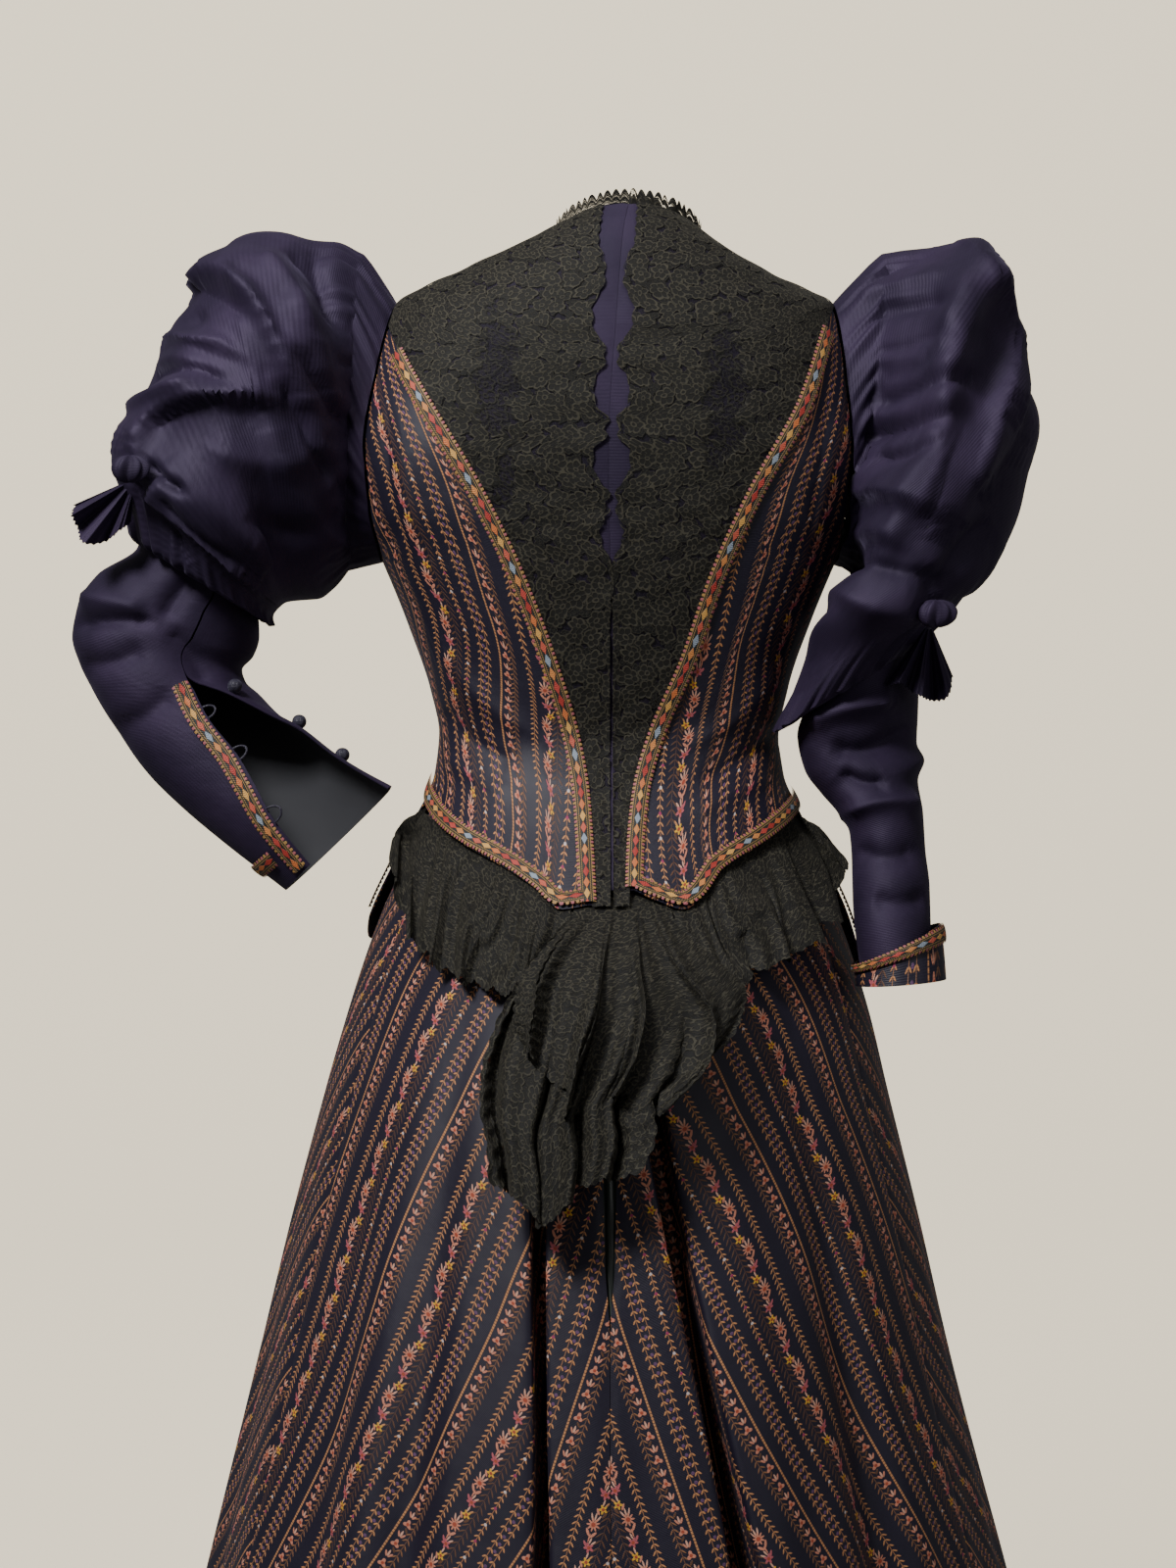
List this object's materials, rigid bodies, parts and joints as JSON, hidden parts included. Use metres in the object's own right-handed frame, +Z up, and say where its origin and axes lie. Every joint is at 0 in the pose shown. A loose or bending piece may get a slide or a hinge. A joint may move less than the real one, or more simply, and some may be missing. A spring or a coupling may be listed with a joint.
{
  "type": "bustle dress",
  "caption": "Back-fullness day dress held in a worn pose: gathered sleeves, pointed bodice with a lace yoke and a flared hollow skirt",
  "frame": {"origin": "middle of the shoulders, half way between back and front, at the height of the shoulder seams' middle", "axes": "+Z is up, -Y is the back of the garment (the side that was pictured), +X is the right of that view"},
  "size_m": [0.8055, 0.742, 1.4799],
  "materials": {
    "plain_silk": "ribbed silk",
    "striped_brocade": "woven floral stripe",
    "black_lace": "corded lace",
    "gold_braid": "woven braid",
    "covered_button": "silk covered",
    "dark_lining": "plain cotton"
  },
  "bodies": {
    "root": {"bodice_plain_back_left": "plain_silk", "bodice_striped_back_left": "striped_brocade", "bodice_front_left": "striped_brocade", "yoke_lace_left": "black_lace", "v_braid_left": "gold_braid", "hem_braid_left": "gold_braid", "basque_braid_left": "gold_braid", "sleeve_puff_left": "plain_silk", "undersleeve_left": "plain_silk", "elbow_flounce_left": "plain_silk", "elbow_knot_left": "plain_silk", "peplum_lace_left": "black_lace", "skirt_back_left": "striped_brocade", "skirt_side_left": "striped_brocade", "bodice_plain_back_right": "plain_silk", "bodice_striped_back_right": "striped_brocade", "bodice_front_right": "striped_brocade", "yoke_lace_right": "black_lace", "v_braid_right": "gold_braid", "hem_braid_right": "gold_braid", "basque_braid_right": "gold_braid", "sleeve_puff_right": "plain_silk", "undersleeve_right": "plain_silk", "elbow_flounce_right": "plain_silk", "elbow_knot_right": "plain_silk", "peplum_lace_right": "black_lace", "skirt_back_right": "striped_brocade", "skirt_side_right": "striped_brocade", "neck_lace": "black_lace", "skirt_front": "striped_brocade", "placket_facing": "dark_lining", "cuff_right": "striped_brocade", "opening_braid_left": "gold_braid", "wrist_braid_left": "gold_braid", "cuff_braid_right": "gold_braid", "lace_tail": "black_lace", "sleeve_button_1": "covered_button", "sleeve_button_2": "covered_button", "sleeve_button_3": "covered_button"}
  },
  "joints": []
}
